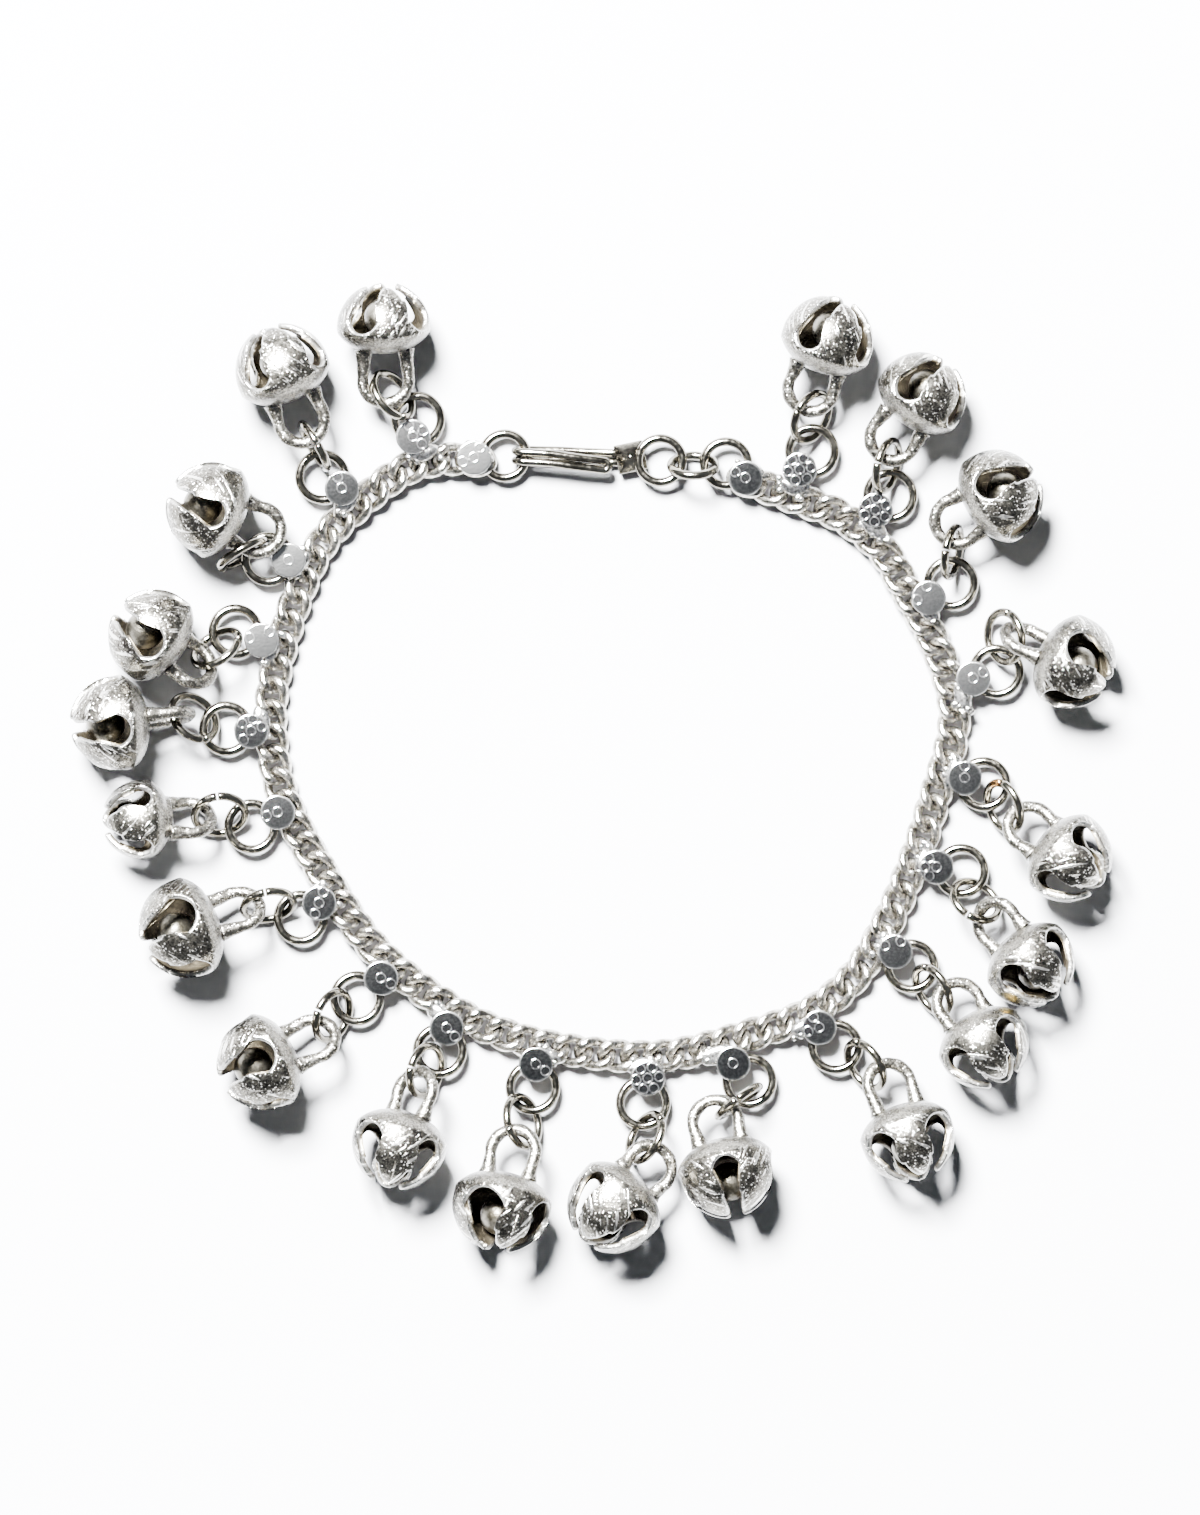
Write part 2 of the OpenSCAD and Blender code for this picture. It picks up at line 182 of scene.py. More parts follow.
def add(tree, kind, inputs=(), **settings):
    """Adds a node, applies its settings, then fills its inputs."""
    node = tree.nodes.new("ShaderNode" + kind)
    for key, value in settings.items():
        setattr(node, key, value)
    for key, value in dict(inputs).items():
        fill(tree, node.inputs[key], value)
    return node


def metal(name):
    """A new metal finish; gives the material, its tree, its shader and Object coordinates."""
    material = bpy.data.materials.new(name)
    material.use_nodes = True
    tree = material.node_tree
    shader = tree.nodes["Principled BSDF"]
    shader.inputs["Metallic"].default_value = 1.0
    return material, tree, shader, add(tree, "TexCoord").outputs["Object"]


def noise(tree, at, per_m, detail=2.0, rough=0.5, squeeze=None, turn=(0, 0, 0)):
    """Noise of so many grains to the metre, drawn out along an axis where squeeze says."""
    if squeeze:
        at = add(tree, "Mapping", {"Vector": at, "Rotation": turn, "Scale": squeeze}).outputs[0]
    return add(tree, "TexNoise", {"Vector": at, "Scale": per_m, "Detail": detail,
                                  "Roughness": rough}).outputs[0]


def stretch(tree, value, low, high, to_low=0.0, to_high=1.0):
    """Maps a value from low..high to a new range and stops it there."""
    return add(tree, "MapRange", {"Value": value, "From Min": low, "From Max": high,
                                  "To Min": to_low, "To Max": to_high}).outputs[0]


def mixed(tree, share, a, b):
    """A colour between two, by share. Inputs 6 and 7 of the node take the two colours."""
    return add(tree, "Mix", {0: share, 6: a, 7: b}, data_type="RGBA").outputs[2]


def plus(tree, a, b):
    """The sum of two values."""
    return add(tree, "Math", {0: a, 1: b}, operation="ADD").outputs[0]


def dressed(tree, shader, colour, rough, height, strength, depth):
    """Gives a shader its colour and roughness, and lets a height show as relief of so many
    metres."""
    fill(tree, shader.inputs["Base Color"], colour)
    fill(tree, shader.inputs["Roughness"], rough)
    bump = add(tree, "Bump", {"Height": height, "Strength": strength, "Distance": depth})
    fill(tree, shader.inputs["Normal"], bump.outputs[0])


chain_finish, tree, shader, at = metal("filed_chain_silver")
tone = stretch(tree, noise(tree, at, 1400, 3), 0.38, 0.62)
rough = stretch(tree, noise(tree, at, 900), 0.3, 0.7, 0.10, 0.22)
file_lines = noise(tree, at, 1000, 2, 0.6, FILE_SQUEEZE, FILE_TURN)
pits = noise(tree, at, 5200, 2, 0.6)
dressed(tree, shader, mixed(tree, tone, CHAIN_WORN, CHAIN_BRIGHT), rough,
        plus(tree, file_lines, pits), 0.6, CHAIN_RELIEF)

put("chain_links", [link(k) for k in range(LINK_COUNT) if k not in SOLDERED],
    chain_finish, ["chain"])

# The hangers hold the bells: a ring of round wire under a small stamped disc, both soldered
# to the outer side of a link. The solder runs out round them in bright lumps and drips.

# Each row: x and y of the disc, x and y of the ring's centre.
HANGERS = np.array([
    [-22.8, 42.4, -22.2, 44.7], [-31.9, 35.8, -34.4, 37.3], [-38.7, 26.6, -41.3, 26.8],
    [-42.2, 16.4, -45.5, 17.5], [-43.5, 4.8, -46.7, 5.1], [-40.1, -5.6, -43.5, -7.4],
    [-34.8, -17.2, -37.2, -19.1], [-26.9, -26.8, -30.0, -29.4], [-18.5, -33.2, -19.4, -36.1],
    [-7.1, -37.8, -7.5, -40.8], [7.2, -39.6, 6.6, -42.8], [18.1, -37.7, 20.2, -40.0],
    [29.1, -33.1, 31.2, -35.6], [38.8, -23.4, 40.9, -25.3], [44.1, -12.6, 47.3, -13.1],
    [47.7, -1.2, 50.2, -2.0], [48.8, 11.5, 51.8, 12.4], [43.1, 21.8, 46.0, 23.7],
    [36.3, 33.0, 38.2, 34.9], [26.6, 38.2, 28.2, 40.6]])
RING_R = 2.95
RING_WIRE = 1.15
RING_Z = 1.85
RING_LEAN = 3.0
RING_UNEVEN = 0.006
RING_STEPS = 56
RING_SIDES = 16
# A disc lies just above its link. It is a little thicker in the middle than at the rim.
DISC_D = 4.45
DISC_RIM_T = 0.71
DISC_DOME = 0.05
DISC_Z = LINK_Z + LINK_TWIST + LINK_WIRE / 2 + 0.04
DISC_STEPS = 72
FACE_RINGS = 20
# The solder: a lump beside the link, one on the ring, a low run over the link, and drips.
BEAD_R = 0.86
RING_BEAD_R = 0.7
BEAD_Z = 1.9
BEAD_OUT = 1.75
RUN_SIZE = [2.15, 1.15, 0.72]
RUN_OUT = 1.25
RUN_Z = 2.3
DRIPS = 8
# Punch marks on each disc: small circles, one in the middle and others round it.
# Each row: is there one in the middle, angles of the others, how dark the ground has gone.
DISC_MARKS = [
    (1, [-40, 30, 110], 0.6), (1, [110], 0.8), (1, [], 0.25), (0, [45, 170], 0.35),
    (1, [20, 80, 140, 230], 0.85), (1, [200], 0.8), (1, [70, 250], 0.9), (1, [-30], 0.93),
    (1, [-45], 0.95), (1, [-35], 1.0), (1, [8, 68, 128, 188, 248, 302], 1.0), (1, [], 1.0),
    (1, [120, 200], 0.9), (0, [60, 150], 0.85), (1, [130, 180, 230], 0.9), (1, [90], 0.85),
    (1, [30], 0.5), (0, [100, 190], 0.6), (1, [25, 85, 145, 205, 265, 325], 0.97),
    (1, [10, 70, 130, 190, 250, 310], 0.95)]
PUNCH_R = 0.60
PUNCH_OUT = 1.50
# Further than any mark reaches, for the points of a disc that aren't on its face.
FAR_FROM_PUNCH = 2.0
RING_DARK = (0.078, 0.072, 0.059)
RING_LIGHT = (0.185, 0.174, 0.146)
RING_STAIN = (0.26, 0.12, 0.025)
# Each stain: x, y and z of its middle and its radius.
RING_STAINS = [(-11.3, -45.2, 4.5, 1.5), (51.2, -2.0, 4.5, 1.5)]
RING_RELIEF = 0.00006
DISC_SATIN = (0.40, 0.40, 0.39)
DISC_TARNISH = (0.045, 0.048, 0.05)
PUNCH_BRIGHT = (0.46, 0.457, 0.45)
DISC_RELIEF = 0.00003
SOLDER_GREY = (0.20, 0.197, 0.185)
SOLDER_WHITE = (0.62, 0.615, 0.60)
SOLDER_RELIEF = 0.00007


def turn_about(axis, degrees):
    """The matrix that turns a vector about a main axis."""
    a = np.radians(degrees)
    c, s = np.cos(a), np.sin(a)
    return np.array({"x": [[1, 0, 0], [0, c, -s], [0, s, c]],
                     "y": [[c, 0, s], [0, 1, 0], [-s, 0, c]],
                     "z": [[c, -s, 0], [s, c, 0], [0, 0, 1]]}[axis])


def ring(centre, turn, r, wire_d, cut=0.0, cut_at=0.0, seed=0):
    """A wire bent round a circle, cut open over an angle if one is given. Its radius goes up
    and down a little twice round it, as in a ring that is bent by hand."""
    t = np.arange(RING_STEPS) / RING_STEPS * 2 * np.pi
    if cut:
        t = np.radians(cut_at + cut / 2 + np.linspace(0, 360 - cut, RING_STEPS))
    out = r * (1 + RING_UNEVEN * np.sin(2 * t + seed))
    path = np.stack([out * np.cos(t), out * np.sin(t), 0 * t], -1) @ turn.T + centre
    return wire(path, wire_d / 2, turn @ [0, 0, 1], RING_SIDES, not cut)


def ball(centre, size, seed=0, around=18, rows=12, lumpy=0.0, turn=np.eye(3)):
    """A ball with poles above and below: longitude by latitude, each radius changed by a
    slow wave of the direction where it is lumpy. Size gives its three half lengths."""
    v = np.linspace(0, np.pi, rows + 1)[1:-1, None]
    u = np.arange(around)[None, :] * 2 * np.pi / around
    d = np.stack([np.sin(v) * np.cos(u), np.sin(v) * np.sin(u), np.cos(v) + 0 * u], -1)
    d = np.vstack([d.reshape(-1, 3), [0, 0, 1], [0, 0, -1]])
    wave = 1 + lumpy * (np.sin(3 * d[:, 0] + seed) + np.sin(4 * d[:, 1] + 2 * seed)
                        + np.sin(3 * d[:, 2] - seed))
    j = np.arange(around)
    j2 = (j + 1) % around
    last = (rows - 2) * around
    top = np.stack([j, j2, 0 * j + len(d) - 2], -1)
    low = np.stack([last + j2, last + j, 0 * j + len(d) - 1], -1)
    return d * wave[:, None] * size @ turn.T + centre, [grid(rows - 1, around), top, low]


def solder(k, disc_at, ring_at, seed):
    """The solder that joins link k, a disc and a ring: a lump beside the link's outer strand,
    a low run of it over the link, a lump on the ring under the disc, and drips round them.
    All are balls, the run and the drips turned along the chain, with slow waves over them."""
    rng = np.random.default_rng(seed + 40)
    place, heading = on_route(k * PITCH)
    c, s = np.cos(heading), np.sin(heading)
    turn = turn_about("z", np.degrees(heading))

    def spot(along, beside, z):
        """The place so far along the chain from the link, and so far out beside it."""
        return np.array([*place, z]) + [along * c + beside * s, along * s - beside * c, 0]

    to_disc = disc_at - place
    along = np.clip(to_disc[0] * c + to_disc[1] * s, 0, 0.6)
    under = ring_at - RING_R * unit(ring_at - disc_at)
    parts = [ball(spot(along, BEAD_OUT, BEAD_Z), [BEAD_R] * 3, seed, lumpy=0.04),
             ball(spot(along, RUN_OUT, RUN_Z), RUN_SIZE, seed + 1, 30, 20, 0.07, turn),
             ball([*under, BEAD_Z + 0.15], [RING_BEAD_R] * 3, seed + 3, lumpy=0.04)]
    for j in range(DRIPS):
        size = rng.uniform(0.34, 0.58)
        drip_at = spot(along + rng.uniform(-2.2, 2.2), rng.uniform(0.1, 2.1),
                       rng.uniform(2.25, 2.65))
        parts.append(ball(drip_at, [size, size, size * 0.8], seed + j, 14, 10, 0.08, turn))
    return parts


def disc(centre, marks, seed):
    """A flat disc: rings of points run from the middle of the face over its rounded edge to
    the middle of the back. Gives how far each point is from the nearest punch mark's line,
    which is a circle round its own centre, and how dark the ground is, which fades out
    towards the rim."""
    in_middle, angles, dark = marks
    u = np.arange(DISC_STEPS) * 2 * np.pi / DISC_STEPS
    rim = DISC_D / 2
    out = rim * (1 - 0.03 * (0.5 + 0.5 * np.sin(3 * u + seed)) * (0.5 + 0.5 * np.sin(7 * u + seed)))
    r = np.concatenate([np.linspace(0.02, 0.93, FACE_RINGS),
                        [0.97, 0.993, 1.0, 1.0, 0.98, 0.93, 0.6, 0.02]])
    z = np.concatenate([np.full(FACE_RINGS, 1.0), [0.985, 0.92, 0.8, 0.2, 0.06, 0.0, 0.0, 0.0]])
    x = (r[:, None] * out * np.cos(u)).ravel()
    y = (r[:, None] * out * np.sin(u)).ravel()
    from_axis = np.hypot(x, y) / rim
    face = np.repeat(np.arange(len(r)) < FACE_RINGS, DISC_STEPS)
    centres = ([(0.0, 0.0)] if in_middle else []) + [
        (PUNCH_OUT * np.cos(np.radians(a)), PUNCH_OUT * np.sin(np.radians(a))) for a in angles]
    away = np.min([np.hypot(x - cx, y - cy) for cx, cy in centres], axis=0) - PUNCH_R
    away = np.where(face, away, FAR_FROM_PUNCH)
    ground = face * dark * (1 - np.clip((from_axis - 0.86) / 0.1, 0, 1))
    height = np.repeat(z, DISC_STEPS) * DISC_RIM_T + face * (DISC_DOME * (1 - from_axis ** 2))
    points = np.stack([x, y, height], -1) + [centre[0], centre[1], DISC_Z]
    first, last = np.arange(DISC_STEPS), (len(r) - 1) * DISC_STEPS + np.arange(DISC_STEPS)
    return points, [grid(len(r), DISC_STEPS), first[None, :], last[None, ::-1]], away, ground


def times(tree, a, b):
    """The product of two values."""
    return add(tree, "Math", {0: a, 1: b}, operation="MULTIPLY").outputs[0]


def carried(tree, name, kind="Fac"):
    """What the mesh carries at its points under a name, as a value or as a vector."""
    return add(tree, "Attribute", attribute_name=name).outputs[kind]


def stained(tree, at, base, spots, colour):
    """The base colour with stains, each fading out over the outer half of its radius."""
    for x, y, z, radius in spots:
        place = [v * MM for v in (x - MIDDLE[0], y - MIDDLE[1], z)]
        far = add(tree, "VectorMath", {0: at, 1: place}, operation="DISTANCE").outputs["Value"]
        share = stretch(tree, far, radius * 0.5 * MM, radius * MM, 0.85, 0.0)
        base = mixed(tree, share, base, colour)
    return base


ring_finish, tree, shader, at = metal("polished_wire_silver")
tone = stretch(tree, noise(tree, at, 700, 2), 0.35, 0.65)
wire_tone = stained(tree, at, mixed(tree, tone, RING_DARK, RING_LIGHT), RING_STAINS, RING_STAIN)
rough = stretch(tree, noise(tree, at, 1800, 2), 0.35, 0.7, 0.08, 0.18)
dressed(tree, shader, wire_tone, rough, noise(tree, at, 2600, 2, 0.55), 0.22, RING_RELIEF)

disc_finish, tree, shader, at = metal("stamped_disc_silver")
off_line = add(tree, "Math", {0: carried(tree, "away")}, operation="ABSOLUTE").outputs[0]
wear = stretch(tree, noise(tree, at, 1300, 2), 0.38, 0.50, 0.35, 1.0)
punched = times(tree, stretch(tree, off_line, 0.07, 0.13, 1.0, 0.0), wear)
mottle = stretch(tree, noise(tree, at, 3200, 3, 0.65), 0.35, 0.65, 0.8, 1.0)
shade = times(tree, carried(tree, "ground"), mottle)
field = mixed(tree, shade, DISC_SATIN, DISC_TARNISH)
dressed(tree, shader, mixed(tree, punched, field, PUNCH_BRIGHT),
        stretch(tree, shade, 0.0, 0.9, 0.16, 0.11),
        plus(tree, punched, noise(tree, at, 2600, 3, 0.6)), 0.5, DISC_RELIEF)

solder_finish, tree, shader, at = metal("white_solder")
tone = stretch(tree, noise(tree, at, 2400, 3), 0.35, 0.65)
dressed(tree, shader, mixed(tree, tone, SOLDER_GREY, SOLDER_WHITE), 0.18,
        noise(tree, at, 4200, 3, 0.6), 0.5, SOLDER_RELIEF)


def soldered_piece(node, k, disc_at, ring_at, ring_turn, ring_r, marks, seed):
    """Puts all that is soldered to link k: the link, its ring, the solder and the disc."""
    put(f"{node}_link", [link(k)], chain_finish, [node])
    put(f"{node}_ring", [ring(ring_at, ring_turn, ring_r, RING_WIRE, seed=seed)],
        ring_finish, [node])
    put(f"{node}_solder", solder(k, np.array(disc_at), np.array(ring_at[:2]), seed),
        solder_finish, [node])
    points, faces, away, ground = disc(disc_at, marks, seed)
    put(f"{node}_disc", [(points, faces)], disc_finish, [node],
        {"away": away, "ground": ground})


for i, (disc_x, disc_y, ring_x, ring_y) in enumerate(HANGERS):
    heading = np.degrees(np.arctan2(ring_y - disc_y, ring_x - disc_x))
    soldered_piece(f"hanger_{i + 1:02d}", HANGER_LINKS[i], [disc_x, disc_y],
                   [ring_x, ring_y, RING_Z], turn_about("z", heading) @ turn_about("y", -RING_LEAN),
                   RING_R, DISC_MARKS[i], i)

# The jump rings are loose rings of round wire, bent open, passed through a hanger's ring and
# a bell's loop, and pressed shut again. They lean where they fell.

# Each row: x and y of the centre, lean from flat, side that it climbs to, cut, cut's place.
JUMP_RINGS = np.array([
    [-25.4, 47.7, 57, 218, 4, 60], [-35.4, 41.2, 82, 30, 4, 0], [-44.6, 27.4, 80, 120, 30, 90],
    [-47.9, 15.4, 58, 304, 4, 60], [-50.8, 6.5, 46, 225, 4, 60], [-47.5, -5.9, 43, 97, 4, 0],
    [-41.3, -17.5, 57, 102, 4, 0], [-33.1, -31.6, 54, 158, 4, 0], [-21.2, -38.6, 54, 165, 4, 0],
    [-8.8, -45.1, 54, 196, 4, 0], [6.9, -47.15, 60, 332, 4, 60], [18.8, -42.5, 83, 126, 4, 0],
    [35.0, -37.9, 57, 32, 4, 60], [43.6, -28.3, 59, 30, 4, 60], [49.1, -16.9, 50, 236, 4, 0],
    [52.7, -4.9, 56, 22, 4, 60], [52.8, 16.8, 50, 8, 4, 60], [46.1, 27.7, 73, 170, 4, 0],
    [37.8, 38.7, 66, 166, 4, 0], [28.1, 44.9, 54, 153, 4, 0]])
JUMP_R = 3.22
JUMP_WIRE = 1.08
JUMP_LIFT = 0.2

jump_rings = []
for i, (x, y, lean, climbs, cut, cut_at) in enumerate(JUMP_RINGS):
    turn = turn_about("z", climbs) @ turn_about("y", -lean)
    z = JUMP_R * np.sin(np.radians(lean)) + JUMP_WIRE / 2 + JUMP_LIFT
    jump_rings.append(ring([x, y, z], turn, JUMP_R, JUMP_WIRE, cut, cut_at, seed=2 * i))
put("jump_rings_bent", jump_rings, ring_finish, ["jump_rings"])

# The bells are cast in silver: a dome cut into four petals by slots that meet at its tip,
# a shallow cone closing its back, and a loop cast in one with it.

# Each row: x and y of the dome's centre, heading and lift of the tip, turn of the slots,
# roll of the loop, radius of the dome, straight wall behind it, reach back to the loop.
BELLS = np.array([
    [-26.5, 56.1, 92, 9, -30, 4, 6.05, 0.6, 6.6], [-39.4, 50.7, 111, 5, -35, 0, 6.15, 1.5, 6.7],
    [-48.2, 33.0, 156, 10, -5, 0, 6.2, 1.5, 6.3], [-55.7, 16.8, 144, 10, -10, 40, 6.15, 1.5, 5.8],
    [-60.5, 5.8, 187, 10, -10, -80, 6.15, 1.5, 6.5], [-57.5, -6.5, 182, 10, 40, 48, 5.1, 1.5, 6.1],
    [-51.5, -20.3, 200, 10, 20, 40, 6.45, 1.5, 6.8], [-41.7, -37.4, 205, 10, 10, 32, 6.3, 1.5, 6.8],
    [-24.5, -47.7, 253, 10, 45, 44, 6.1, 1.5, 6.6], [-11.4, -55.5, 258, 10, 25, 15, 6.4, 1.5, 6.8],
    [2.9, -55.8, 227, 10, 50, -8, 6.1, 2.2, 6.6], [17.25, -51.15, 283, 11, 0, 0, 6.25, 1.5, 6.2],
    [40.3, -46.8, 289, 10, 42, -21, 6.1, 1.5, 6.8], [49.9, -35.0, 301, 10, 48, -22, 5.95, 1.5, 5.8],
    [55.8, -24.6, 310, 10, 35, 32, 5.95, 1.5, 6.2], [60.6, -11.2, 321, 10, 50, -24, 5.95, 1.5, 5.9],
    [60.9, 13.7, 334, 5, -25, -60, 6.1, 1.5, 6.0], [51.6, 34.6, 32, 10, -20, 4, 6.15, 1.5, 5.8],
    [42.0, 47.4, 56, 8, -22, 4, 5.85, 1.5, 6.3], [30.1, 54.5, 71, 12, -27, 0, 5.95, 1.5, 6.5]])
# How far the slots of each bell gape, as a share of their plain width.
GAPE = [1.4, 1.3, 1.3, 1.3, 1.3, 1.3, 1.6, 1.55, 1.35, 1.7,
        1.35, 1.25, 1.45, 1.4, 1.4, 1.4, 1.5, 1.4, 1.4, 1.35]
BELL_R = 6.1
BELL_WALL = 0.85
# The slots of a bell of radius BELL_R: where the round root begins, the width there, a
# place on the way to the tip and the width there, and the width at the tip.
SLOT_ROOT = 0.65
SLOT_W = 3.3
SLOT_MID = 4.4
SLOT_MID_W = 2.5
SLOT_TIP_W = 0.9
ROOT_STEPS = 9
FLANK_STEPS = 19
FINE_STEPS = 400
PETAL_ROUND = 1.0
EDGE_ROUND = 0.26
LOOP_R = 2.95
LOOP_WIRE = 1.55
LOOP_LEG_STOP = 2.0
LOOP_SIDES = 16
# How far the loop wears the finish of the bell's back.
LOOP_AS_BACK = 0.6
BELL_LIGHT = (0.155, 0.147, 0.126)
BELL_DARK = (0.019, 0.018, 0.0155)
BELL_PIT = (0.012, 0.012, 0.012)
# A painted glint: the near-white colour given to the cast beads and veins.
BEAD_PAINTED_GLINT = (0.70, 0.685, 0.645)
BACK_LIGHT = (0.145, 0.138, 0.12)
BACK_DARK = (0.019, 0.018, 0.016)
INSIDE_LIGHT = (0.06, 0.051, 0.034)
INSIDE_DARK = (0.018, 0.015, 0.011)
# A painted highlight, laid along the outer half of each petal's rounded edge.
EDGE_PAINTED_HIGHLIGHT = (0.45, 0.45, 0.435)
BELL_STAIN = (0.42, 0.34, 0.15)
BELL_STAINS = [(53.1, -29.9, 9.0, 1.6)]
BELL_RELIEF = 0.00012


def slot_edge(r, side, grow):
    """Half of one petal's outline on the dome, from the middle of the slot beside it to the
    petal's tip: a quarter round at the slot's root, a long flank that closes in towards
    the tip, and a rounded corner. `grow` widens the slot. Gives x, y across and z along it."""
    scale = r / BELL_R
    half = SLOT_W / 2 * scale * grow
    mid = SLOT_ROOT + half
    b = np.linspace(0, np.pi / 2, ROOT_STEPS)
    root = np.stack([mid - half * np.cos(b), half * np.sin(b)], -1)
    x = np.linspace(mid, side + r - 0.02, FINE_STEPS)
    y = np.interp(x, [mid, SLOT_MID, side + r + 1],
                  [half, SLOT_MID_W / 2 * scale * grow, SLOT_TIP_W / 2 * grow])
    z = np.sqrt(np.maximum(r ** 2 - np.maximum(x - side, 0) ** 2 - y ** 2, 0))
    stop = np.argmax(z < y + PETAL_ROUND)
    far = np.concatenate([[0], np.cumsum(np.hypot(np.diff(x[:stop]), np.diff(z[:stop])))])
    pick = np.interp(np.linspace(0, far[-1], FLANK_STEPS)[1:], far, np.arange(stop))
    flank_x = np.interp(pick, np.arange(FINE_STEPS), x)
    flank_y = np.interp(pick, np.arange(FINE_STEPS), y)
    g = np.radians(np.linspace(180, 225, 6)[1:])
    corner = flank_y[-1] + PETAL_ROUND
    tip_y, tip_z = corner + PETAL_ROUND * np.cos(g), corner + PETAL_ROUND * np.sin(g)
    tip_x = side + np.sqrt(r ** 2 - tip_y ** 2 - tip_z ** 2)
    side_x, side_y = np.concatenate([root[:, 0], flank_x]), np.concatenate([root[:, 1], flank_y])
    side_z = np.sqrt(r ** 2 - np.maximum(side_x - side, 0) ** 2 - side_y ** 2)
    return (np.concatenate([side_x, tip_x]), np.concatenate([side_y, tip_y]),
            np.concatenate([side_z, tip_z]))


def petal_outline(r, side, grow):
    """The outline of the four petals, round the dome: up one flank of a petal to its tip and
    down the other. Gives for each of its points the length along the meridian from the
    ridge, the angle round the dome, that angle spread evenly, and the petal's number."""
    halves = []
    for k in range(4):
        for rising in (True, False):
            x, y, z = slot_edge(r, side, grow[k] if rising else grow[(k + 1) % 4])
            s = np.where(x < side, x, side + r * np.arcsin(np.clip((x - side) / r, -1, 1)))
            a = np.arctan2(y, z)
            flank = np.linspace(a[ROOT_STEPS - 1], np.pi / 4, len(a) - ROOT_STEPS + 1)
            even = np.concatenate([a[:ROOT_STEPS], flank[1:]])
            if rising:
                half = [s, np.radians(90 * k) + a, np.radians(90 * k) + even]
            else:
                half = [s[-2:0:-1], np.radians(90 * (k + 1)) - a[-2:0:-1],
                        np.radians(90 * (k + 1)) - even[-2:0:-1]]
            halves.append(np.vstack([*half, np.full(len(half[0]), k)]))
    s_out, phi, spread, petal = np.hstack(halves)
    return s_out, phi, spread, petal.astype(int)


